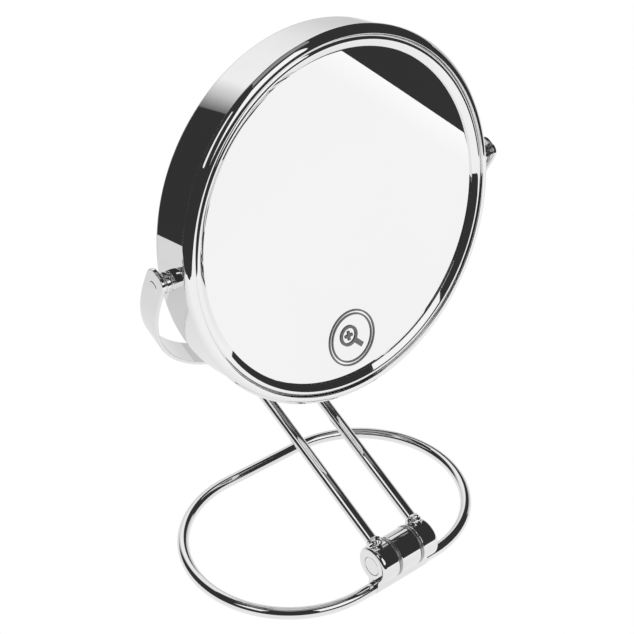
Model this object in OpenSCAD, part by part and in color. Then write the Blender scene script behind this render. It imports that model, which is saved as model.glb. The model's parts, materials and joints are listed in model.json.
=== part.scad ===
// Folding table-top shaving mirror: a round two-sided head in a strap yoke, carried by two parallel
// rods on a flat wire ring. Origin: middle of the base ring on the table. +Z up, -Y towards the user.

/* [Base ring] */
// diameter of the round wire of the base and of the two arm rods
wire_d = 5.8; // [4:0.1:8]
// radius of the ring's round ends, to the middle of the wire
ring_r = 53.3; // [40:0.5:75]
// length of the ring's straight front and back sides
ring_straight = 46.6; // [40:0.2:90]

/* [Hinges] */
// metal of the bracket's foot between the ring's wire and the turning knuckles
foot_cover = 1.3; // [0.6:0.1:6]
// metal of a knuckle over the side of its rod, at the barrel's rim
rod_cover = 0.3; // [0.2:0.1:3]
// metal of a knuckle between its rod and the end of the barrel
knuckle_end = 2; // [1.5:0.1:8]
// width of the middle knuckle
mid_knuckle_w = 12; // [8:0.5:18]
// thickness of the washer between two knuckles
washer_t = 1.6; // [1:0.1:3]
// diameter of the hinge pin
hinge_pin_d = 5; // [3:0.1:5]
// radius of the rounded shoulder at each end of the barrel
shoulder_r = 2.8; // [1:0.1:4]

/* [Arm] */
// distance from the lower hinge axis to the upper one
arm_len = 117.7; // [90:0.5:170]
// wall between a rod and the inner face of its knuckle
rod_wall = 1.9; // [1:0.1:4]
// metal between a rod and the hinge pin that it passes
rod_pin_gap = 0.9; // [0.5:0.1:3]
// angle of the arm above the table as it stands
arm_lean = 31.8; // [10:0.1:80]

/* [Yoke] */
// gap between the head's rim and the inside of the strap
head_gap = 7.5; // [3:0.1:15]
// thickness of the strap
strap_t = 1.8; // [1.2:0.1:3]
// width of the strap
strap_w = 11.8; // [8:0.2:18]
// length of the neck between the strap and the upper barrel
neck_len = 6.2; // [3:0.1:40]
// how far the yoke leans back from upright as it stands
yoke_lean = 26.7; // [0:0.1:60]

/* [Head] */
// outside diameter of the head over its bezels
head_d = 170; // [120:1:230]
// width of the smooth band between the two bezels
band_w = 17; // [10:0.5:30]
// wall thickness of the band
band_t = 1.2; // [0.8:0.1:2]
// how far the head is tipped back from upright as it stands
head_tilt = 6.6; // [-30:0.1:30]
// thickness of the two glasses
glass_t = 2; // [1.5:0.1:4]
// radius of curvature of the magnifying glass
magnifier_r = 780; // [500:10:1500]
// outside radius of the magnification mark on the glass
mark_r = 13.4; // [8:0.1:18]
// gap between the mark and the bezel below it
mark_gap = 3.7; // [1:0.1:30]

/* [Pivots] */
// diameter of the pivot screws that carry the head
pivot_d = 4; // [3:0.1:5]
// wall of the spacer that turns on a pivot screw between the strap and the band
boss_wall = 2.3; // [1.2:0.1:4]
// rim of a pivot screw's flush head round its shank
screw_rim = 1; // [0.5:0.1:2]

/* [Hidden] */

$fn = 96;

// fits
run_gap = 0.05;      // radial clearance of a turning fit
side_gap = 0.05;     // end clearance beside a washer
cap_gap = 0.3;       // clearance round a pin cap in its recess
seat_gap = 0.6;      // clearance between the turning knuckles and the bracket under them
glue_gap = 0.02;     // between parts that lie flat on each other

// colours
chrome = [0.80, 0.81, 0.83];
chrome_dark = [0.62, 0.63, 0.66];
mirror_tone = [0.90, 0.92, 0.93];
board = [0.35, 0.33, 0.30];
mark_grey = [0.45, 0.45, 0.45];

// base and hinges
wire_r = wire_d / 2;
pin_r = hinge_pin_d / 2;
rod_offset = pin_r + rod_pin_gap + wire_r;               // from a hinge axis to the middle of a rod
barrel_r = rod_offset + wire_r + rod_cover;
hinge_height = wire_d + foot_cover + seat_gap + barrel_r;
side_in = mid_knuckle_w / 2 + washer_t + 2 * side_gap;   // inner face of an outer knuckle
side_out = side_in + rod_wall + wire_d + knuckle_end;    // end face of the barrel
washer_over = 0.25;                                      // the washers stand proud of the barrel
cap_r = pin_r + 2.1;
cap_t = 1.4;
cap_out = side_out - 0.1;                                // outer face of a pin cap
cap_in = cap_out - cap_t - 0.3;
knuckle_bevel = 0.5;
foot_wall = 0.4;                                         // the bracket's wall round the ring's wire
foot_r = wire_r + foot_wall;
foot_under = 0.25;                                       // the wire stands this far proud of the foot
foot_half = side_out - 1.5;                              // half the length of the foot

// arm: the rods cross the line between the two hinge axes at a small angle
rod_x = side_in + rod_wall + wire_r;
rod_turn = asin(2 * rod_offset / arm_len);
rod_len = arm_len * cos(rod_turn);
rod_seat = 4.3;                                          // depth of a rod's hole in its knuckle
rod_in = barrel_r - rod_seat;                            // how far a rod stops short of a hinge axis
collar_r = wire_r + 1.1;
collar_bevel = 0.6;
collar_top = barrel_r + 0.2;                             // collar's far face, from the hinge axis

// yoke and pivots
head_r = head_d / 2;
strap_r = head_r + head_gap + strap_t;                   // outside radius of the strap's half circle
yoke_drop = strap_r + neck_len + barrel_r;               // from the head's pivot axis to the upper hinge axis
leg_over = 2;                                            // straight strap above the pivot axis
strap_corner = strap_w / 3;                              // rounding of the strap's ends
flange_t = 2.4;
flange_w = 34;
rivet_d = 3.2;
rivet_at = asin((flange_w / 2 - 4.85) / strap_r);        // angle of a rivet from the strap's middle
strap_in = strap_r - strap_t;
screw_r = pivot_d / 2;
screw_head_r = screw_r + screw_rim;
boss_r = screw_r + boss_wall;
pivot_washer_t = 0.6;
pivot_washer_r = boss_r + 0.3;
seat_r = pivot_washer_r + 0.1;                           // flat seat of a washer inside the strap
boss_out = strap_in - pivot_washer_t - 2 * side_gap;

// head, in its own frame: +Z out of the magnifying glass, origin on the pivot axis
band_r = head_r - 0.9;
band_in = band_r - band_t;
flange_in = band_in - 2.4;                               // inner face of a spacer's flange
screw_in = flange_in + 0.2;                              // inner end of a pivot screw
half_band = band_w / 2;
outer_bead_r = 3.4;
inner_bead_r = 2;
rear_roll = 2.2;                                         // the band reaches this far past its rear edge line
lip_h = 0.9;                                             // upright lip of a bezel above its glass
bezel_slope = 29;                                        // rise of a bezel from its lip to its inner bead
valley = half_band + 1.2;                                // height of the groove between the beads
opening_r = head_r - 9.4;                                // visible radius of the glass
glass_r = opening_r + 2.4;                               // radius of the glass under its bezel
glass_edge = half_band + 0.5;                            // height of the glass face at the opening
glass_sink = magnifier_r - sqrt(pow(magnifier_r, 2) - pow(opening_r, 2));
rebate_r = glass_r + 0.2;                                // room for the edge of the glass
touch_r = head_r - 6.1 - inner_bead_r * sin(bezel_slope);
inner_touch = [touch_r, glass_edge + lip_h + (touch_r - opening_r) * tan(bezel_slope)];
inner_bead = inner_touch + inner_bead_r * [sin(bezel_slope), -cos(bezel_slope)];
magnifier_mid = glass_edge - glass_sink;                 // height of the magnifying glass's middle
glass_under = -glass_edge + glass_t + side_gap;          // just above the plain glass
core_r = flange_in - 0.2;
core_in = core_r - 3.5;
pad_r = core_in - 0.4;
pad_t = 1;
mark_drop = opening_r - mark_gap - mark_r;               // from the middle of the glass to the mark's
mark_slope = asin(mark_drop / magnifier_r);
mark_z = magnifier_mid + magnifier_r - sqrt(pow(magnifier_r, 2) - pow(mark_drop, 2));
mark_t = 0.3;                                            // thickness of the mark's print
mark_lift = pow(mark_r, 2) / (2 * magnifier_r) + 2 * glue_gap;   // clears the curve of the glass

// the two hinge axes and the pivot axis, all along X
lower_axis = [0, -ring_r, hinge_height];
upper_axis = lower_axis + arm_len * [0, cos(arm_lean), sin(arm_lean)];
pivot_axis = upper_axis + yoke_drop * [0, -sin(yoke_lean), cos(yoke_lean)];

// frames of the moving groups
module at_lower() { translate(lower_axis) rotate([arm_lean - 90, 0, 0]) children(); }
module at_upper() { translate(upper_axis) rotate([yoke_lean, 0, 0]) children(); }
module at_pivot() { translate(pivot_axis) rotate([yoke_lean, 0, 0]) children(); }
module at_head() { translate(pivot_axis) rotate([90 - head_tilt, 0, 0]) children(); }
module both_sides() { for (s = [0, 1]) mirror([s, 0, 0]) children(); }

// a solid of revolution round the X axis from points [distance along X, radius]
module turned(points) {
    rotate([0, 90, 0]) rotate_extrude() polygon([for (p = points) [p[1], p[0]]]);
}

module rod_along_x(r, x0, x1) {
    translate([x0, 0, 0]) rotate([0, 90, 0]) cylinder(r = r, h = x1 - x0);
}

// half of a ring's wire: one straight side and one round end
module ring_half() {
    translate([-ring_straight / 2, ring_r, wire_r]) rod_along_x(wire_r, 0, ring_straight);
    translate([ring_straight / 2, 0, wire_r]) rotate([0, 0, -90])
        rotate_extrude(angle = 180) translate([ring_r, 0]) circle(r = wire_r);
}

module base_ring() {
    color(chrome) for (turn = [0, 180]) rotate([0, 0, turn]) ring_half();
}

// outline of a middle knuckle with small bevels
module mid_knuckle() {
    c = knuckle_bevel;
    w = mid_knuckle_w / 2;
    turned([[-w, 0], [-w, barrel_r - c], [-w + c, barrel_r],
        [w - c, barrel_r], [w, barrel_r - c], [w, 0]]);
}

// foot that grips the ring under the hinge, with the fixed knuckle standing on it
module base_bracket() {
    color(chrome) difference() {
        union() {
            translate(lower_axis) mid_knuckle();
            difference() {
                union() {
                    translate([0, -ring_r, wire_r]) rod_along_x(foot_r, -foot_half, foot_half);
                    translate([-foot_half, -ring_r - foot_r, wire_r])
                        cube([2 * foot_half, 2 * foot_r, hinge_height - wire_r]);
                }
                both_sides() translate(lower_axis)
                    rod_along_x(barrel_r + seat_gap, mid_knuckle_w / 2, side_out + 1);
                both_sides() translate([mid_knuckle_w / 2, -ring_r - barrel_r, hinge_height - barrel_r / 3])
                    cube([side_out, 2 * barrel_r, barrel_r]);
                translate([-side_out - 1, -ring_r - barrel_r, foot_under - barrel_r])
                    cube([2 * side_out + 2, 2 * barrel_r, barrel_r]);
            }
        }
        translate(lower_axis) rod_along_x(pin_r, -mid_knuckle_w, mid_knuckle_w);
        translate([0, -ring_r, wire_r]) rod_along_x(wire_r, -side_out - 1, side_out + 1);
    }
}

// hinge parts shared by both hinges, each round the X axis through its own origin
module hinge_pin() {
    rod_along_x(pin_r, -cap_in, cap_in);
}

module hinge_caps() {
    both_sides() turned([[cap_in, 0], [cap_in, cap_r], [cap_out - knuckle_bevel, cap_r],
        [cap_out, cap_r - knuckle_bevel], [cap_out, 0]]);
}

module hinge_washers() {
    w0 = mid_knuckle_w / 2 + side_gap;
    w1 = w0 + washer_t;
    r = barrel_r + washer_over;
    c = washer_t / 4;
    both_sides() difference() {
        turned([[w0, 0], [w0, r - c], [w0 + c, r], [w1 - c, r], [w1, r - c], [w1, 0]]);
        rod_along_x(pin_r, 0, side_out);
    }
}

// right-hand outer knuckle; its rod points along +Z and is set beside the pin, towards -Y
module side_knuckle() {
    c = knuckle_bevel;
    s = shoulder_r;
    difference() {
        turned(concat([[side_in, 0], [side_in, barrel_r - c], [side_in + c, barrel_r]],
            [for (a = [0:15:90]) [side_out - s + s * sin(a), barrel_r - s + s * cos(a)]],
            [[side_out, 0]]));
        rod_along_x(pin_r + run_gap, 0, side_out);
        rod_along_x(cap_r + cap_gap, cap_in - cap_gap, side_out + 1);
        translate([rod_x, -rod_offset, rod_in]) cylinder(r = wire_r, h = barrel_r);
    }
}

// right-hand collar where a rod leaves its knuckle
module rod_collar() {
    difference() {
        translate([rod_x, -rod_offset, 0]) rotate_extrude()
            polygon([[wire_r, 0], [collar_r, 0], [collar_r, collar_top - collar_bevel],
                [collar_r - collar_bevel, collar_top], [wire_r, collar_top]]);
        rod_along_x(barrel_r, 0, side_out + 1);
    }
}

// frames of the arm's two ends, turned so that +Z runs along the rods
module arm_low() { at_lower() rotate([-rod_turn, 0, 0]) children(); }
module arm_high() { translate(upper_axis) rotate([arm_lean - 90 - rod_turn + 180, 0, 0]) children(); }

module lower_pin() { color(chrome_dark) translate(lower_axis) hinge_pin(); }
module lower_pin_caps() { color(chrome) translate(lower_axis) hinge_caps(); }
module lower_washers() { color(chrome_dark) translate(lower_axis) hinge_washers(); }
module lower_knuckle_right() { color(chrome) arm_low() side_knuckle(); }
module lower_knuckle_left() { color(chrome) arm_low() mirror([1, 0, 0]) side_knuckle(); }
module lower_collars() { color(chrome) arm_low() both_sides() rod_collar(); }

module rod() {
    translate([rod_x, -rod_offset, rod_in]) cylinder(r = wire_r, h = rod_len - 2 * rod_in);
}
module rod_right() { color(chrome) arm_low() rod(); }
module rod_left() { color(chrome) arm_low() mirror([1, 0, 0]) rod(); }

module upper_knuckle_right() { color(chrome) arm_high() side_knuckle(); }
module upper_knuckle_left() { color(chrome) arm_high() mirror([1, 0, 0]) side_knuckle(); }
module upper_collars() { color(chrome) arm_high() both_sides() rod_collar(); }

// a piece of the strap's hoop between two radii, round the Y axis, on its lower half
module hoop(r0, r1, w) {
    rotate([90, 0, 0]) rotate([0, 0, 180]) rotate_extrude(angle = 180)
        translate([r0, -w / 2]) square([r1 - r0, w]);
}

// knuckle, neck and flange that carry the strap
module yoke_bracket() {
    color(chrome) difference() {
        union() {
            at_upper() mid_knuckle();
            at_pivot() difference() {
                translate([-mid_knuckle_w / 2, -strap_w / 2 + 1, -yoke_drop])
                    cube([mid_knuckle_w, strap_w - 2, yoke_drop - strap_r + 1]);
                rotate([90, 0, 0]) cylinder(r = strap_r, h = 2 * strap_w, center = true, $fn = 192);
            }
            at_pivot() intersection() {
                hoop(strap_r, strap_r + flange_t, strap_w - 1, $fn = 192);
                translate([-flange_w / 2, -strap_w, -strap_r - 10]) cube([flange_w, 2 * strap_w, 20]);
            }
        }
        at_upper() rod_along_x(pin_r, -mid_knuckle_w, mid_knuckle_w);
        at_pivot() rivet_holes();
    }
}

module rivet_holes() {
    for (a = [-rivet_at, rivet_at]) rotate([0, a, 0])
        translate([0, 0, -strap_r - 6]) cylinder(d = rivet_d, h = 12);
}

module upper_pin() { color(chrome_dark) at_upper() hinge_pin(); }
module upper_pin_caps() { color(chrome) at_upper() hinge_caps(); }
module upper_washers() { color(chrome_dark) at_upper() hinge_washers(); }

// straight end of the strap above the pivot axis, with two rounded corners
module strap_end() {
    top = leg_over + strap_w / 2;
    flat = strap_w / 2 - strap_corner;
    translate([strap_in, -strap_w / 2, 0]) cube([strap_t, strap_w, top - strap_corner]);
    translate([strap_in, -flat, 0]) cube([strap_t, 2 * flat, top]);
    for (y = [-flat, flat]) translate([0, y, top - strap_corner])
        rod_along_x(strap_corner, strap_in, strap_r);
}

// strap bent into a half circle, with short straight ends round the pivot screws
module yoke_strap() {
    color(chrome) at_pivot() difference() {
        union() {
            hoop(strap_in, strap_r, strap_w, $fn = 192);
            both_sides() strap_end();
        }
        rod_along_x(screw_r, -strap_r - 1, strap_r + 1);
        both_sides() {
            rod_along_x(screw_head_r, strap_r - strap_t / 2, strap_r + 1);
            rod_along_x(seat_r, strap_in - strap_t, strap_in);
        }
        rivet_holes();
    }
}

// two rivets with low domed heads inside the strap and flat tails on the flange
module yoke_rivets() {
    tail = -flange_t - side_gap;
    head = strap_t + 0.12;
    r = rivet_d / 2;
    color(chrome) at_pivot() for (a = [-rivet_at, rivet_at]) rotate([0, a, 0])
        translate([0, 0, -strap_r]) rotate_extrude()
            polygon([[0, tail - 0.85], [r + 0.8, tail - 0.85], [r + 1.2, tail], [r, tail],
                [r, head], [r + 1.3, head], [r + 0.7, head + 0.7], [r - 0.4, head + 1.1],
                [0, head + 1.2]]);
}

module pivot_screw() {
    recess = strap_r - strap_t / 2;
    face = strap_r + 0.15;
    bevel = 0.25;
    turned([[screw_in, 0], [screw_in, screw_r], [recess, screw_r], [recess, screw_head_r],
        [face - bevel, screw_head_r], [face, screw_head_r - bevel], [face, 0]]);
}
module pivot_screw_right() { color(chrome) at_pivot() pivot_screw(); }
module pivot_screw_left() { color(chrome) at_pivot() mirror([1, 0, 0]) pivot_screw(); }

module pivot_washers() {
    color(chrome_dark) at_pivot() both_sides() difference() {
        rod_along_x(pivot_washer_r, strap_in - pivot_washer_t, strap_in);
        rod_along_x(screw_r, 0, strap_r);
    }
}

// grooved spacer that turns on the pivot screw, with its flange inside the band
module pivot_boss() {
    r = boss_r;
    low = r - 0.5;
    step = (boss_out - band_r) / 25;
    flange_r = r + 1.6;
    flange_out = band_in - 0.4;
    grooves = [for (at = [9, 20]) for (p = [[-2, r], [-1, low], [1, low], [2, r]])
        [band_r + (at + p[0]) * step, p[1]]];
    difference() {
        turned(concat([[flange_in, 0], [flange_in, flange_r], [flange_out, flange_r],
            [flange_out, r]], grooves, [[boss_out, r], [boss_out, 0]]));
        rod_along_x(screw_r + run_gap, 0, strap_r);
    }
}
module pivot_boss_right() { color(chrome) at_head() pivot_boss(); }
module pivot_boss_left() { color(chrome) at_head() mirror([1, 0, 0]) pivot_boss(); }

module case_band() {
    color(chrome) at_head() difference() {
        rotate_extrude($fn = 192) translate([band_in, -half_band - rear_roll])
            square([band_t, band_w + rear_roll]);
        rod_along_x(boss_r, -head_r, head_r);
    }
}

// part of a circle in a bezel's section, outside the radius x and above the height y
module bead(centre, r, x, y) {
    intersection() {
        translate(centre) circle(r = r, $fn = 96);
        translate([x, y]) square(3 * r);
    }
}

// section of the front bezel: a large outer bead, a groove, an inner bead and a slope to the glass
module bezel_front_section() {
    outer = [head_r - outer_bead_r, half_band + 0.1];
    polygon([[opening_r, glass_edge], [rebate_r, glass_edge], [rebate_r, half_band],
        [outer[0], half_band], [outer[0], valley], [inner_bead[0] + 1.9, valley], inner_touch,
        [opening_r, glass_edge + lip_h]]);
    bead(outer, outer_bead_r, outer[0] - 0.6, half_band);
    bead(inner_bead, inner_bead_r, inner_touch[0], valley);
}

// the rear bezel sits inside the band and covers the band's edge with a small round
module bezel_rear_section() {
    seat = band_in - side_gap;
    edge = half_band + rear_roll;
    round_r = 1.2;
    rim = [band_r - round_r, edge];
    polygon([[opening_r, glass_edge], [rebate_r, glass_edge], [rebate_r, half_band],
        [seat, half_band], [seat, edge], [band_r, edge], rim + [0, round_r],
        rim + [-0.8, 0.9], [inner_bead[0] + 1.9, valley], inner_touch,
        [opening_r, glass_edge + lip_h]]);
    bead(rim, round_r, rim[0], edge);
    bead(inner_bead, inner_bead_r, inner_touch[0], valley);
}

module bezel_front() {
    color(chrome) at_head() rotate_extrude($fn = 192) bezel_front_section();
}
module bezel_rear() {
    color(chrome) at_head() mirror([0, 0, 1]) rotate_extrude($fn = 192) bezel_rear_section();
}

// dished magnifying glass, the same thickness all over
module glass_front() {
    low = magnifier_mid - glass_t - 1;
    color(mirror_tone) at_head() intersection() {
        translate([0, 0, low]) cylinder(r = glass_r, h = glass_edge - glue_gap - low, $fn = 192);
        translate([0, 0, magnifier_mid + magnifier_r]) difference() {
            sphere(r = magnifier_r + glass_t, $fn = 360);
            sphere(r = magnifier_r, $fn = 360);
        }
    }
}
module glass_rear() {
    color(mirror_tone) at_head() translate([0, 0, -glass_edge + glue_gap])
        cylinder(r = glass_r, h = glass_t, $fn = 192);
}

// ring between the two glasses that keeps them against their bezels
module core_ring() {
    top = glass_edge - glass_t - 0.7;
    color(board) at_head() rotate_extrude($fn = 192)
        polygon([[core_in, glass_under], [core_r, glass_under], [core_r, top], [core_in, top - 0.2]]);
}
module backing_front() {
    color(board) at_head() translate([0, 0, magnifier_mid - glass_t - side_gap - pad_t])
        cylinder(r = pad_r, h = pad_t);
}
module backing_rear() {
    color(board) at_head() translate([0, 0, glass_under]) cylinder(r = pad_r, h = pad_t);
}

// a flat part of the mark on the dished glass, +Y towards the top of the head
module on_glass() {
    at_head() translate([0, -mark_drop, mark_z]) rotate([-mark_slope, 0, 0])
        translate([0, 0, mark_lift]) linear_extrude(mark_t) children();
}

module circle_line(r, width) {
    difference() {
        circle(r = r);
        circle(r = r - width);
    }
}

module mark_ring() {
    line = 0.056 * mark_r;
    color(mark_grey) on_glass() {
        circle_line(mark_r, line);
        circle_line(mark_r - 2.2 * line, line);
    }
}

// a plain magnifier sign: a lens with a plus in it, and a handle to the lower right
module mark_figure() {
    lens_r = 0.373 * mark_r;
    plus = 0.33 * mark_r;
    thin = 0.097 * mark_r;
    thick = 0.18 * mark_r;
    color(mark_grey) on_glass() translate([-0.12, 0.12] * mark_r) {
        circle_line(lens_r, 0.28 * lens_r);
        rotate([0, 0, -45]) translate([lens_r - 0.02 * mark_r, -thick / 2]) square([0.39 * mark_r, thick]);
        square([plus, thin], center = true);
        square([thin, plus], center = true);
    }
}

base_ring();
base_bracket();
lower_pin();
lower_pin_caps();
lower_washers();
lower_knuckle_left();
lower_knuckle_right();
rod_left();
rod_right();
lower_collars();
upper_collars();
upper_knuckle_left();
upper_knuckle_right();
yoke_bracket();
upper_pin();
upper_pin_caps();
upper_washers();
yoke_strap();
yoke_rivets();
pivot_screw_left();
pivot_screw_right();
pivot_washers();
pivot_boss_left();
pivot_boss_right();
case_band();
bezel_front();
bezel_rear();
glass_front();
glass_rear();
core_ring();
backing_front();
backing_rear();
mark_ring();
mark_figure();
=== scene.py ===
# Looks for the folding table-top shaving mirror. Lengths are in metres, in the CAD's own frame.
import json
import math

import bmesh
import bpy
from mathutils import Matrix, Vector


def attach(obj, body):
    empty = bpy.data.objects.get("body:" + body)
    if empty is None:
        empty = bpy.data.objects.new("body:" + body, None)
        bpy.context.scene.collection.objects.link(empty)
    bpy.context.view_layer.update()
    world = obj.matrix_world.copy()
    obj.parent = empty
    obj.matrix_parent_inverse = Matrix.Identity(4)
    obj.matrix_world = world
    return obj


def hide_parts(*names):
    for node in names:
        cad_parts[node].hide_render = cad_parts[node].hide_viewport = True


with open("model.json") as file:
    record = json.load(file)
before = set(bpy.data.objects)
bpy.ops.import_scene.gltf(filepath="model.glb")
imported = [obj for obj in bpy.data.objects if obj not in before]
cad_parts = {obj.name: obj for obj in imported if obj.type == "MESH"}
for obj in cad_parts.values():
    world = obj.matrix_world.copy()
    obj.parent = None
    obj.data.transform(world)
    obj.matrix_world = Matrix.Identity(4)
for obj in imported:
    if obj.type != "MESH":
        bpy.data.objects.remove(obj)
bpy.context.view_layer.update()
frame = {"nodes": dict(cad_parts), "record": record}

NODES = frame["nodes"]


# ---------------------------------------------------------------- materials
def new_material(name):
    """A material with a Principled shader; returns it with its node tree and shader."""
    mat = bpy.data.materials.new(name)
    mat.use_nodes = True
    tree = mat.node_tree
    return mat, tree, tree.nodes["Principled BSDF"]


def add_noise(tree, scale, detail=3.0, rough=0.5):
    """A noise texture in object space, so that it keeps its size on every piece."""
    where = tree.nodes.new("ShaderNodeTexCoord")
    noise = tree.nodes.new("ShaderNodeTexNoise")
    noise.inputs["Scale"].default_value = scale
    noise.inputs["Detail"].default_value = detail
    noise.inputs["Roughness"].default_value = rough
    tree.links.new(where.outputs["Object"], noise.inputs["Vector"])
    return noise


def add_ramp(tree, source, low, high, at=(0.35, 0.65)):
    """Colours or greys between two ends of a noise."""
    ramp = tree.nodes.new("ShaderNodeValToRGB")
    ramp.color_ramp.elements[0].position = at[0]
    ramp.color_ramp.elements[1].position = at[1]
    ramp.color_ramp.elements[0].color = (*low, 1) if isinstance(low, tuple) else (low, low, low, 1)
    ramp.color_ramp.elements[1].color = (*high, 1) if isinstance(high, tuple) else (high, high, high, 1)
    tree.links.new(source, ramp.inputs["Fac"])
    return ramp


def add_bump(tree, shader, height, strength, distance):
    """Small relief in the shading, from a height."""
    bump = tree.nodes.new("ShaderNodeBump")
    bump.inputs["Strength"].default_value = strength
    bump.inputs["Distance"].default_value = distance
    tree.links.new(height, bump.inputs["Height"])
    tree.links.new(bump.outputs["Normal"], shader.inputs["Normal"])


def chrome(name, tone=(0.87, 0.87, 0.87), smear=0.035, wave=0.02):
    """Polished chrome plate: faint tone changes, thin smears in its roughness, a slight waviness."""
    mat, tree, shader = new_material(name)
    shader.inputs["Metallic"].default_value = 1.0
    darker = tuple(c * 0.965 for c in tone)
    tint = add_ramp(tree, add_noise(tree, 45, 4).outputs["Fac"], darker, tone)
    tree.links.new(tint.outputs["Color"], shader.inputs["Base Color"])
    smears = add_ramp(tree, add_noise(tree, 160, 5, 0.62).outputs["Fac"], 0.012, 0.012 + smear, (0.4, 0.75))
    tree.links.new(smears.outputs["Color"], shader.inputs["Roughness"])
    add_bump(tree, shader, add_noise(tree, 70, 2).outputs["Fac"], wave, 0.0006)
    return mat


def satin_steel(name, tone):
    """Turned steel of pins and washers: fine rings of brushing and a soft shine."""
    mat, tree, shader = new_material(name)
    shader.inputs["Metallic"].default_value = 1.0
    tint = add_ramp(tree, add_noise(tree, 300, 4).outputs["Fac"], tuple(c * 0.8 for c in tone), tone)
    tree.links.new(tint.outputs["Color"], shader.inputs["Base Color"])
    rough = add_ramp(tree, add_noise(tree, 900, 3).outputs["Fac"], 0.22, 0.4)
    tree.links.new(rough.outputs["Color"], shader.inputs["Roughness"])
    add_bump(tree, shader, add_noise(tree, 1200, 2).outputs["Fac"], 0.15, 0.0001)
    return mat


def silvered_glass(name, tone):
    """Mirror glass: a clean silvered reflection under a clear coat, with the faintest haze."""
    mat, tree, shader = new_material(name)
    shader.inputs["Metallic"].default_value = 1.0
    tint = add_ramp(tree, add_noise(tree, 12, 2).outputs["Fac"], tuple(c * 0.985 for c in tone), tone)
    tree.links.new(tint.outputs["Color"], shader.inputs["Base Color"])
    haze = add_ramp(tree, add_noise(tree, 90, 4).outputs["Fac"], 0.0, 0.012, (0.5, 0.85))
    tree.links.new(haze.outputs["Color"], shader.inputs["Roughness"])
    shader.inputs["Coat Weight"].default_value = 0.4
    shader.inputs["Coat Roughness"].default_value = 0.0
    return mat


def plain(name, low, high, rough, grain, depth=0.0002):
    """Moulded plastic, board or print: mottled colour and a fine grain."""
    mat, tree, shader = new_material(name)
    tint = add_ramp(tree, add_noise(tree, grain, 5).outputs["Fac"], low, high)
    tree.links.new(tint.outputs["Color"], shader.inputs["Base Color"])
    dull = add_ramp(tree, add_noise(tree, grain * 2, 3).outputs["Fac"], rough - 0.08, rough + 0.08)
    tree.links.new(dull.outputs["Color"], shader.inputs["Roughness"])
    add_bump(tree, shader, add_noise(tree, grain * 3, 3).outputs["Fac"], 0.3, depth)
    return mat


LOOKS = {
    "chrome_wire": chrome("chrome_wire", smear=0.05),
    "chrome_cast": chrome("chrome_cast", tone=(0.85, 0.85, 0.85), smear=0.06, wave=0.05),
    "chrome_strap": chrome("chrome_strap", tone=(0.86, 0.86, 0.86), smear=0.09, wave=0.03),
    "chrome_case": chrome("chrome_case", tone=(0.88, 0.88, 0.88), smear=0.03, wave=0.015),
    "pin_steel": satin_steel("pin_steel", (0.62, 0.62, 0.63)),
    "washer_steel": satin_steel("washer_steel", (0.50, 0.50, 0.51)),
    "mirror_glass": silvered_glass("mirror_glass", (0.90, 0.90, 0.90)),
    "core_plastic": plain("core_plastic", (0.62, 0.62, 0.60), (0.72, 0.72, 0.70), 0.5, 400),
    "backing_board": plain("backing_board", (0.20, 0.17, 0.13), (0.30, 0.26, 0.20), 0.8, 900),
    "mark_print": plain("mark_print", (0.10, 0.10, 0.10), (0.17, 0.17, 0.17), 0.45, 1500, 0.00005),
}

for entry in frame["record"]["subparts"]:
    node = NODES[entry["node"]]
    node.data.materials.clear()
    node.data.materials.append(LOOKS[entry["material_slot"]])
    node.data.polygons.foreach_set("use_smooth", [True] * len(node.data.polygons))


# ---------------------------------------------------------------- sizes, in millimetres as in the CAD
MM = 0.001
WIRE_R = 2.9
RING_R, RING_STRAIGHT = 53.3, 46.6
HINGE_HEIGHT = 17.2      # of the lower hinge above the floor
BARREL_R, SHOULDER_R = 9.5, 2.8
SIDE_IN, SIDE_OUT = 7.7, 17.4
CAP_R, CAP_HOLE_R, CAP_IN, CAP_OUT = 4.7, 4.82, 15.6, 17.3
PIN_R = 2.5
RUN_GAP = 0.05           # round a pin or screw that turns
WASHER_IN, WASHER_OUT, WASHER_R = 6.05, 7.65, 9.75
ROD_X, ROD_OFFSET, ROD_IN = 12.5, 6.3, 5.2
ARM_LEN, ARM_LEAN = 117.7, math.radians(31.8)
ROD_TURN = math.asin(2 * ROD_OFFSET / ARM_LEN)
ROD_LEN = ARM_LEN * math.cos(ROD_TURN)
YOKE_DROP = 110.0        # from the head's pivot to the upper hinge
YOKE_LEAN, HEAD_TILT = math.radians(26.7), math.radians(6.6)
STRAP_R, STRAP_T, STRAP_W, LEG_OVER = 94.3, 1.8, 11.8, 2.0
SCREW_R, SCREW_HEAD_R, SCREW_IN, SCREW_SEAT, SCREW_TOP = 2.0, 3.0, 80.7, 93.4, 94.6
BOSS_R, FLANGE_R, FLANGE_IN, FLANGE_OUT = 4.3, 5.9, 80.5, 82.5
HEAD_R, HALF_BAND, REAR_ROLL = 85.0, 8.5, 2.2
BAND_R, BAND_IN = 84.1, 82.9
OPENING_R, GLASS_R, GLASS_EDGE, GLASS_T = 75.6, 78.0, 9.0, 2.0
OUTER_BEAD_R, INNER_BEAD_R, INNER_BEAD_IN, LIP_H, RIM_R = 3.4, 2.0, 6.1, 0.9, 1.2
MAGNIFIER_R = 780.0
MAGNIFIER_MID = GLASS_EDGE - MAGNIFIER_R + math.sqrt(MAGNIFIER_R ** 2 - OPENING_R ** 2)

LOWER = Vector((0, -RING_R, HINGE_HEIGHT))
UPPER = LOWER + ARM_LEN * Vector((0, math.cos(ARM_LEAN), math.sin(ARM_LEAN)))
PIVOT = UPPER + YOKE_DROP * Vector((0, -math.sin(YOKE_LEAN), math.cos(YOKE_LEAN)))


def frame_at(origin, turn):
    """A frame at origin, turned about the X axis."""
    return Matrix.Translation(origin) @ Matrix.Rotation(turn, 4, "X")


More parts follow.
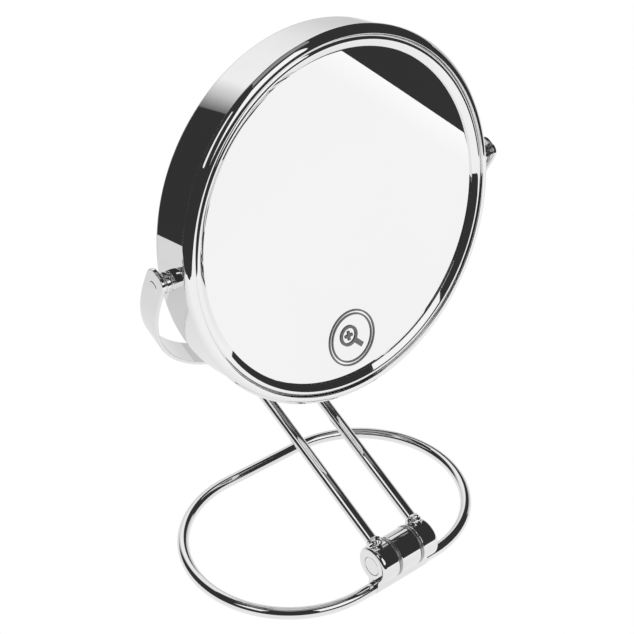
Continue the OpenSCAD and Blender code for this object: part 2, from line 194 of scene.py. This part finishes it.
AT_BASE = Matrix.Identity(4)
AT_LOWER = frame_at(LOWER, 0)
ARM_LOW = frame_at(LOWER, ARM_LEAN - math.pi / 2 - ROD_TURN)
ARM_HIGH = frame_at(UPPER, ARM_LEAN + math.pi / 2 - ROD_TURN)
AT_UPPER = frame_at(UPPER, YOKE_LEAN)
AT_PIVOT = frame_at(PIVOT, YOKE_LEAN)
AT_HEAD = frame_at(PIVOT, math.pi / 2 - HEAD_TILT)
ALONG_X = Matrix.Rotation(math.pi / 2, 4, "Y")      # sends +Z to +X
FLIP_X = Matrix.Scale(-1, 4, Vector((1, 0, 0)))
FLIP_Z = Matrix.Scale(-1, 4, Vector((0, 0, 1)))


# ---------------------------------------------------------------- mesh helpers
def hand_over(name, meshes, node):
    """Joins (bmesh, frame) pairs into one smooth piece that takes the place of a CAD node."""
    whole = bmesh.new()
    for part, place in meshes:
        part.transform(place)
        if place.determinant() < 0:
            bmesh.ops.reverse_faces(part, faces=part.faces)
        part.transform(Matrix.Scale(MM, 4))
        data = bpy.data.meshes.new("scratch")
        part.to_mesh(data)
        part.free()
        whole.from_mesh(data)
        bpy.data.meshes.remove(data)
    for face in whole.faces:
        face.smooth = True
    data = bpy.data.meshes.new(name)
    whole.to_mesh(data)
    whole.free()
    piece = bpy.data.objects.new(name, data)
    bpy.context.scene.collection.objects.link(piece)
    slot = SLOT_OF[node]
    data.materials.append(LOOKS[slot])
    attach(piece, BODY_OF[node])
    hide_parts(node)
    return piece


def softened(points, radius, closed=False):
    """Rounds the corners of a line with small arcs, each held by a close pair of points."""
    out = []
    count = len(points)
    for i, point in enumerate(points):
        here = Vector(point[:2])
        if not closed and i in (0, count - 1):
            out.append(here)
            continue
        before, after = Vector(points[i - 1][:2]), Vector(points[(i + 1) % count][:2])
        to_a, to_b = before - here, after - here
        r = point[2] if len(point) > 2 else radius
        reach = min(r, 0.45 * to_a.length, 0.45 * to_b.length)
        a, b = to_a.normalized(), to_b.normalized()
        if reach < 1e-4 or abs(a.dot(b)) > 0.97:
            out.append(here)
            continue
        first, last = here + a * reach, here + b * reach
        out.append(first + a * min(0.03, 0.1 * reach))
        for k in range(7):
            t = k / 6
            out.append(first * (1 - t) ** 2 + here * 2 * t * (1 - t) + last * t ** 2)
        out.append(last + b * min(0.03, 0.1 * reach))
    return out


def lathe(line, steps=96, closed=False):
    """Turns a line of (height, radius) points round +Z."""
    mesh = bmesh.new()
    rings = []
    for height, radius in line:
        if radius < 1e-6:
            rings.append([mesh.verts.new((0, 0, height))])
            continue
        rings.append([mesh.verts.new((radius * math.cos(2 * math.pi * k / steps),
                                      radius * math.sin(2 * math.pi * k / steps), height))
                      for k in range(steps)])
    pairs = list(zip(rings, rings[1:]))
    if closed:
        pairs.append((rings[-1], rings[0]))
    for low, high in pairs:
        for k in range(steps):
            m = (k + 1) % steps
            corners = [low[k % len(low)], low[m % len(low)], high[m % len(high)], high[k % len(high)]]
            unique = []
            for corner in corners:
                if corner not in unique:
                    unique.append(corner)
            if len(unique) > 2:
                mesh.faces.new(unique)
    bmesh.ops.recalc_face_normals(mesh, faces=mesh.faces)
    return mesh


def arc(centre, radius, start, end, steps):
    """Points on an arc in the (height, radius) plane; angles in degrees from the height axis."""
    return [(centre[0] + radius * math.cos(math.radians(start + (end - start) * k / steps)),
             centre[1] + radius * math.sin(math.radians(start + (end - start) * k / steps)))
            for k in range(steps + 1)]


def tube(path, radius, sides=40):
    """A round wire along a closed path that lies flat."""
    mesh = bmesh.new()
    rings = []
    count = len(path)
    for i, point in enumerate(path):
        ahead = (path[(i + 1) % count] - path[i - 1]).normalized()
        across = Vector((ahead.y, -ahead.x, 0))
        rings.append([mesh.verts.new(point + radius * (across * math.cos(2 * math.pi * k / sides)
                                                       + Vector((0, 0, math.sin(2 * math.pi * k / sides)))))
                      for k in range(sides)])
    for i in range(count):
        low, high = rings[i], rings[(i + 1) % count]
        for k in range(sides):
            mesh.faces.new((low[k], low[(k + 1) % sides], high[(k + 1) % sides], high[k]))
    bmesh.ops.recalc_face_normals(mesh, faces=mesh.faces)
    return mesh


SLOT_OF = {entry["node"]: entry["material_slot"] for entry in frame["record"]["subparts"]}
BODY_OF = {}
for body_name, members in frame["record"]["behaviour"]["bodies"].items():
    for member in members:
        BODY_OF[member] = body_name


# ---------------------------------------------------------------- base ring and rods
def stadium(radius, straight, z, bend_steps=90, straight_steps=12):
    """Closed path of the ring's wire."""
    path = []
    for side in (1, -1):
        for k in range(straight_steps):
            path.append(Vector((side * (straight / 2 - straight * k / straight_steps), side * radius, z)))
        for k in range(bend_steps):
            angle = math.pi / 2 + math.pi * k / bend_steps
            path.append(Vector((side * (radius * math.cos(angle) - straight / 2),
                                side * radius * math.sin(angle), z)))
    return path


hand_over("ring_wire", [(tube(stadium(RING_R, RING_STRAIGHT, WIRE_R), WIRE_R), AT_BASE)], "base_ring")

ROD_LINE = softened([(ROD_IN, 0), (ROD_IN, WIRE_R), (ROD_LEN - ROD_IN, WIRE_R), (ROD_LEN - ROD_IN, 0)], 0.3)
for side, node in ((1, "rod_right"), (-1, "rod_left")):
    hand_over(node + "_wire", [(lathe(ROD_LINE, 64),
                                ARM_LOW @ Matrix.Translation((side * ROD_X, -ROD_OFFSET, 0)))], node)


# ---------------------------------------------------------------- knuckles, washers, caps
KNUCKLE_LINE = softened(
    [(SIDE_IN, PIN_R + RUN_GAP), (SIDE_IN, BARREL_R, 0.5), (SIDE_OUT, BARREL_R, SHOULDER_R * 1.25),
     (SIDE_OUT, CAP_HOLE_R, 0.25), (CAP_IN - 0.3, CAP_HOLE_R), (CAP_IN - 0.3, PIN_R + RUN_GAP)], 0.2)
for place, end in ((ARM_LOW, "lower"), (ARM_HIGH, "upper")):
    for flip, side in ((AT_BASE, "right"), (FLIP_X, "left")):
        hand_over(f"{end}_knuckle_{side}_turned", [(lathe(KNUCKLE_LINE, 128), place @ flip @ ALONG_X)],
                  f"{end}_knuckle_{side}")

WASHER_LINE = [(WASHER_IN, PIN_R), (WASHER_IN, WASHER_R, 0.5), (WASHER_OUT, WASHER_R, 0.5),
               (WASHER_OUT, PIN_R)]
CAP_LINE = [(CAP_IN, 0), (CAP_IN, CAP_R), (CAP_OUT, CAP_R, 0.3), (CAP_OUT + 0.02, 1.2, 0.5), (CAP_OUT, 0)]
for place, end in ((AT_LOWER, "lower"), (AT_UPPER, "upper")):
    both = (place @ ALONG_X, place @ FLIP_X @ ALONG_X)
    hand_over(f"{end}_washers_turned", [(lathe(softened(WASHER_LINE, 0.3), 128), at) for at in both],
              f"{end}_washers")
    hand_over(f"{end}_caps_turned", [(lathe(softened(CAP_LINE, 0.3), 96), at) for at in both],
              f"{end}_pin_caps")


def bead(seed):
    """The lumpy bead of plated solder where a rod leaves its knuckle."""
    line = [(1.0, WIRE_R - 0.1), (4.9, WIRE_R - 0.1)]
    for k in range(25):
        bulge = math.sin(math.pi * k / 24) ** 0.6
        line.append((5.2 + 4.6 * k / 24, WIRE_R - 0.1 + 1.15 * bulge))
    mesh = lathe(line, 72)
    for vert in mesh.verts:
        angle = math.atan2(vert.co.y, vert.co.x)
        swell = (math.sin(4 * angle + 1.9 * vert.co.z + seed) * 0.6
                 + math.sin(7 * angle - 2.6 * vert.co.z + 2.3 * seed) * 0.5
                 + math.sin(3.1 * vert.co.z + 2 * angle + seed) * 0.5)
        out = Vector((vert.co.x, vert.co.y, 0))
        grip = min(1.0, max(0.0, (out.length - WIRE_R) / 0.8))
        vert.co += out.normalized() * 0.2 * swell * grip
    return mesh


for place, end in ((ARM_LOW, "lower"), (ARM_HIGH, "upper")):
    roots = [(side, place @ Matrix.Translation((side * ROD_X, -ROD_OFFSET, 0))) for side in (1, -1)]
    hand_over(f"{end}_beads", [(bead(side * 1.7 + 3), root) for side, root in roots], f"{end}_collars")


# ---------------------------------------------------------------- strap
def strap_mesh():
    """Flat strap bent to a half circle, with softened edges and rounded corners at its ends."""
    mesh = bmesh.new()
    mid_r = STRAP_R - STRAP_T / 2
    half_t, half_w, edge = STRAP_T / 2, STRAP_W / 2, 0.45
    corner = STRAP_W / 3
    top = LEG_OVER + half_w
    stations = []
    for k in range(13):                              # half width of the strap near its end
        drop = corner * (1 - math.cos(math.pi / 2 * k / 12))
        w = half_w - corner + corner * math.sin(math.pi / 2 * k / 12)
        stations.append((Vector((mid_r, 0, top - drop)), Vector((1, 0, 0)), w))
    stations.append((Vector((mid_r, 0, LEG_OVER)), Vector((1, 0, 0)), half_w))
    for k in range(241):
        angle = math.pi * k / 240
        out = Vector((math.cos(angle), 0, -math.sin(angle)))
        stations.append((out * mid_r, out, half_w))
    for centre, out, w in stations[13::-1]:
        stations.append((Vector((-centre.x, 0, centre.z)), Vector((-1, 0, 0)), w))
    rings = []
    for centre, out, w in stations:
        e = min(edge, 0.49 * w)
        corners = [(w, half_t), (-w, half_t), (-w, -half_t), (w, -half_t)]
        line = softened([(y, t, e) for y, t in corners], e, closed=True)
        rings.append([mesh.verts.new(centre + out * p.y + Vector((0, p.x, 0))) for p in line])
    for low, high in zip(rings, rings[1:]):
        count = len(low)
        for k in range(count):
            mesh.faces.new((low[k], low[(k + 1) % count], high[(k + 1) % count], high[k]))
    mesh.faces.new(rings[0])
    mesh.faces.new(rings[-1])
    bmesh.ops.recalc_face_normals(mesh, faces=mesh.faces)
    return mesh


hand_over("strap_bent", [(strap_mesh(), AT_PIVOT)], "yoke_strap")

BOSS_STEP = (STRAP_R - STRAP_T - 0.7 - BAND_R) / 25
BOSS_LINE = [(FLANGE_IN, SCREW_R + RUN_GAP), (FLANGE_IN, FLANGE_R), (FLANGE_OUT, FLANGE_R),
             (FLANGE_OUT, BOSS_R)]
for middle in (9, 20):
    for at, low in ((-2.4, 0), (-1.2, 0.7), (1.2, 0.7), (2.4, 0)):
        BOSS_LINE.append((BAND_R + (middle + at) * BOSS_STEP, BOSS_R - low))
BOSS_LINE += [(BAND_R + 25 * BOSS_STEP, BOSS_R), (BAND_R + 25 * BOSS_STEP, SCREW_R + RUN_GAP)]
SCREW_LINE = [(SCREW_IN, 0), (SCREW_IN, SCREW_R), (SCREW_SEAT, SCREW_R), (SCREW_SEAT, SCREW_HEAD_R),
              (SCREW_TOP - 0.15, SCREW_HEAD_R, 0.5), (SCREW_TOP, 1.0, 1.0), (SCREW_TOP, 0)]
for flip, side in ((AT_BASE, "right"), (FLIP_X, "left")):
    hand_over(f"pivot_boss_{side}_turned",
              [(lathe(softened(BOSS_LINE, 0.25), 96), AT_HEAD @ flip @ ALONG_X)], f"pivot_boss_{side}")
    hand_over(f"pivot_screw_{side}_turned",
              [(lathe(softened(SCREW_LINE, 0.2), 64), AT_PIVOT @ flip @ ALONG_X)], f"pivot_screw_{side}")


# ---------------------------------------------------------------- head
BAND_LINE = softened([(-HALF_BAND - REAR_ROLL, BAND_IN), (-HALF_BAND - REAR_ROLL, BAND_R),
                      (HALF_BAND, BAND_R), (HALF_BAND, BAND_IN)], 0.1, closed=True)
hand_over("band_rolled", [(lathe(BAND_LINE, 360, closed=True), AT_HEAD)], "case_band")

REBATE_R = GLASS_R + 0.2
VALLEY = HALF_BAND + 1.2
SLOPE = 29
TOUCH_R = HEAD_R - INNER_BEAD_IN - INNER_BEAD_R * math.sin(math.radians(SLOPE))
TOUCH = GLASS_EDGE + LIP_H + (TOUCH_R - OPENING_R) * math.tan(math.radians(SLOPE))
INNER_BEAD = (TOUCH - INNER_BEAD_R * math.cos(math.radians(SLOPE)), HEAD_R - INNER_BEAD_IN)
SHARED = (arc(INNER_BEAD, INNER_BEAD_R, 82, -SLOPE, 36)
          + [(GLASS_EDGE + LIP_H, OPENING_R, 0.12), (GLASS_EDGE, OPENING_R)])
FRONT_LINE = ([(GLASS_EDGE, REBATE_R), (HALF_BAND, REBATE_R)]
              + arc((HALF_BAND + 0.1, HEAD_R - OUTER_BEAD_R), OUTER_BEAD_R, 91.5, -10, 56)
              + [(VALLEY, HEAD_R - 4.05)] + SHARED)
EDGE = HALF_BAND + REAR_ROLL
REAR_SEAT = BAND_IN - RUN_GAP
REAR_LINE = ([(GLASS_EDGE, REBATE_R), (HALF_BAND, REBATE_R), (HALF_BAND, REAR_SEAT), (EDGE, REAR_SEAT)]
             + arc((EDGE, BAND_R - RIM_R), RIM_R, 90, -10, 20) + [(VALLEY, HEAD_R - 4.15)] + SHARED)
for flip, side, line in ((AT_BASE, "front", FRONT_LINE), (FLIP_Z, "rear", REAR_LINE)):
    hand_over(f"bezel_{side}_rolled", [(lathe(softened(line, 0.06, closed=True), 360, closed=True),
                                        AT_HEAD @ flip)], f"bezel_{side}")

DISH = [(MAGNIFIER_MID + MAGNIFIER_R - math.sqrt(MAGNIFIER_R ** 2 - (76.0 * k / 60) ** 2), 76.0 * k / 60)
        for k in range(61)]
UNDER = [(height - GLASS_T, radius) for height, radius in reversed(DISH)]
GLASS_LINE = DISH + [(GLASS_EDGE - 0.02, GLASS_R - 0.2), (GLASS_EDGE - 0.3, GLASS_R),
                     (GLASS_EDGE - 1.7, GLASS_R)] + UNDER
hand_over("glass_dished", [(lathe(GLASS_LINE, 240), AT_HEAD)], "glass_front")
PLAIN_LINE = softened([(-GLASS_EDGE + 0.02, 0), (-GLASS_EDGE + 0.02, GLASS_R), (-GLASS_EDGE + 2.02, GLASS_R),
                       (-GLASS_EDGE + 2.02, 0)], 0.2)
hand_over("glass_plain", [(lathe(PLAIN_LINE, 240), AT_HEAD)], "glass_rear")


# ---------------------------------------------------------------- camera
CAMERA_AT = Vector((-0.35191, -0.41700, 0.47887))
CAMERA_LOOKS = Vector((0.53430, 0.64490, -0.54646))
LENS = 80.63             # millimetres, on a 36 mm wide sensor

camera_data = bpy.data.cameras.new("camera")
camera_data.lens = LENS
camera_data.sensor_width = 36.0
camera_data.clip_start = 0.01
camera = bpy.data.objects.new("camera", camera_data)
camera.location = CAMERA_AT
camera.rotation_mode = "QUATERNION"
camera.rotation_quaternion = CAMERA_LOOKS.to_track_quat("-Z", "Y")
bpy.context.scene.collection.objects.link(camera)
bpy.context.scene.camera = camera


# ---------------------------------------------------------------- studio
def sheet_from(name, points, faces, strength, camera_sees=False, glossy_sees=True):
    """A glowing sheet of the studio, seen by reflections only unless told otherwise."""
    mesh = bpy.data.meshes.new(name)
    mesh.from_pydata(points, [], faces)
    sheet = bpy.data.objects.new(name, mesh)
    bpy.context.scene.collection.objects.link(sheet)
    mat, tree, shader = new_material(name)
    shader.inputs["Base Color"].default_value = (0.0, 0.0, 0.0, 1)
    shader.inputs["Roughness"].default_value = 1.0
    shader.inputs["Specular IOR Level"].default_value = 0.0
    shader.inputs["Emission Color"].default_value = (1, 1, 1, 1)
    shader.inputs["Emission Strength"].default_value = strength
    mesh.materials.append(mat)
    sheet.visible_camera = camera_sees
    sheet.visible_glossy = glossy_sees
    sheet.visible_shadow = False
    return tree, shader


def stage_sheet(name, corners, strength, **seen_by):
    """A flat sheet of the studio that glows evenly."""
    return sheet_from(name, corners, [tuple(range(len(corners)))], strength, **seen_by)


def place_of(tree):
    """Sockets with the place on a sheet, along X, Y and Z."""
    where = tree.nodes.new("ShaderNodeTexCoord")
    split = tree.nodes.new("ShaderNodeSeparateXYZ")
    tree.links.new(where.outputs["Object"], split.inputs["Vector"])
    return split.outputs


def towards(azimuth, distance, z=0.0):
    """A point seen from the middle of the ring; azimuth in degrees from +Y towards +X."""
    a = math.radians(azimuth)
    return (distance * math.sin(a), distance * math.cos(a), z)


def wall(name, columns, distance, strength, **seen_by):
    """An upright curved sheet; each column is (azimuth, low, high)."""
    points = []
    for azimuth, low, high in columns:
        points += [towards(azimuth, distance, low), towards(azimuth, distance, high)]
    faces = [(2 * k, 2 * k + 2, 2 * k + 3, 2 * k + 1) for k in range(len(columns) - 1)]
    return sheet_from(name, points, faces, strength, **seen_by)


def evenly(az_from, az_to, low, high, count):
    """Columns of a wall at even steps, all of one height."""
    return [(az_from + (az_to - az_from) * k / count, low, high) for k in range(count + 1)]


def shaded(tree, source, start, end, stops):
    """A grey that runs through (place, level) stops while the source goes from start to end."""
    span = tree.nodes.new("ShaderNodeMapRange")
    span.inputs["From Min"].default_value = start
    span.inputs["From Max"].default_value = end
    tree.links.new(source, span.inputs["Value"])
    node = tree.nodes.new("ShaderNodeValToRGB")
    ramp = node.color_ramp
    while len(ramp.elements) < len(stops):
        ramp.elements.new(0.5)
    for element, (place, level) in zip(ramp.elements, stops):
        element.position = (place - start) / (end - start)
        element.color = (level, level, level, 1)
    tree.links.new(span.outputs["Result"], node.inputs["Fac"])
    return node.outputs["Color"]


FAR = 4.0                # half the floor's side
TABLE_Z, RIM_Z = -0.0005, -0.0004
SCREEN_AT, BOX_AT, BACKDROP_AT = 1.25, 1.2, 3.9
RIM_STEP = 0.003         # width of each strip of the table's rim
stage_sheet("floor", [(-FAR, -FAR, 0), (FAR, -FAR, 0), (FAR, FAR, 0), (-FAR, FAR, 0)], 1.0,
            camera_sees=True, glossy_sees=False)
wall("backdrop", evenly(0, 360, 0.0, 8.0, 48), BACKDROP_AT, 1.0, camera_sees=True, glossy_sees=False)

# the white table that the chrome reflects: cut short in front and on the left, open to the screen
TABLE = [towards(-10, 1.3), towards(40, 1.5), towards(96, 1.3), towards(104, 0.66), (0.508, -0.437, 0),
         (0.260, -0.684, 0), towards(180, 0.70), towards(-150, 0.66), towards(-110, 0.66),
         towards(-60, 0.72), towards(-38, 0.70)]
tree, shader = stage_sheet("table", [(x, y, TABLE_Z) for x, y, z in TABLE], 1.0)
fade = shaded(tree, place_of(tree)["Y"], -0.7, 1.5, [(-0.25, 1.0), (0.30, 0.76)])
tree.links.new(fade, shader.inputs["Emission Color"])
for k in range(6):       # the table's rounded rim catches more light
    near, far = RIM_STEP * k, RIM_STEP * (k + 1)
    stage_sheet(f"table_rim_{k}",
                [(0.508 - near, -0.437 + near, RIM_Z), (0.260 - near, -0.684 + near, RIM_Z),
                 (0.260 - far, -0.684 + far, RIM_Z), (0.508 - far, -0.437 + far, RIM_Z)],
                1.065 - 0.011 * k)

# white screen behind and to the right, dimmer near the table, with a soft left edge
SCREEN = evenly(-19, 34, 0.0, 2.1, 36) + [(38, 0.0, 1.7), (43, 0.0, 1.1), (48, 0.0, 0.55), (56, 0.0, 0.42)]
tree, shader = wall("screen", SCREEN + evenly(60, 98, 0.0, 0.40, 14), SCREEN_AT, 1.0)
spot = place_of(tree)
turn = tree.nodes.new("ShaderNodeMath")
turn.operation = "ARCTAN2"
tree.links.new(spot["X"], turn.inputs[0])
tree.links.new(spot["Y"], turn.inputs[1])
both = tree.nodes.new("ShaderNodeMixRGB")
both.blend_type = "MULTIPLY"
both.inputs["Fac"].default_value = 1.0
tree.links.new(shaded(tree, turn.outputs[0], math.radians(-20), math.radians(100),
                      [(math.radians(-19), 0.16), (math.radians(-12), 0.62), (math.radians(-4), 1.0),
                       (math.radians(98), 0.78)]), both.inputs["Color1"])
tree.links.new(shaded(tree, spot["Z"], 0.0, 2.2, [(0.0, 0.70), (0.40, 0.78), (0.75, 0.95), (1.1, 1.0),
                                                 (2.1, 0.90)]), both.inputs["Color2"])
tree.links.new(both.outputs["Color"], shader.inputs["Emission Color"])

# two soft boxes on the dark side
wall("box_front", evenly(150, 194, 0.50, 2.0, 8), BOX_AT, 1.05)
wall("box_left", evenly(-112, -84, 0.95, 2.4, 6), BOX_AT, 1.0)

# overhead sheet
stage_sheet("overhead", [(-0.5, -0.5, 2.4), (0.9, -0.5, 2.4), (0.9, 0.9, 2.4), (-0.5, 0.9, 2.4)], 0.28)

world = bpy.data.worlds.new("studio")
bpy.context.scene.world = world
world.use_nodes = True
world.node_tree.nodes["Background"].inputs["Color"].default_value = (1, 1, 1, 1)
world.node_tree.nodes["Background"].inputs["Strength"].default_value = 0.035

bpy.context.scene.view_settings.view_transform = "Standard"
bpy.context.scene.view_settings.look = "None"
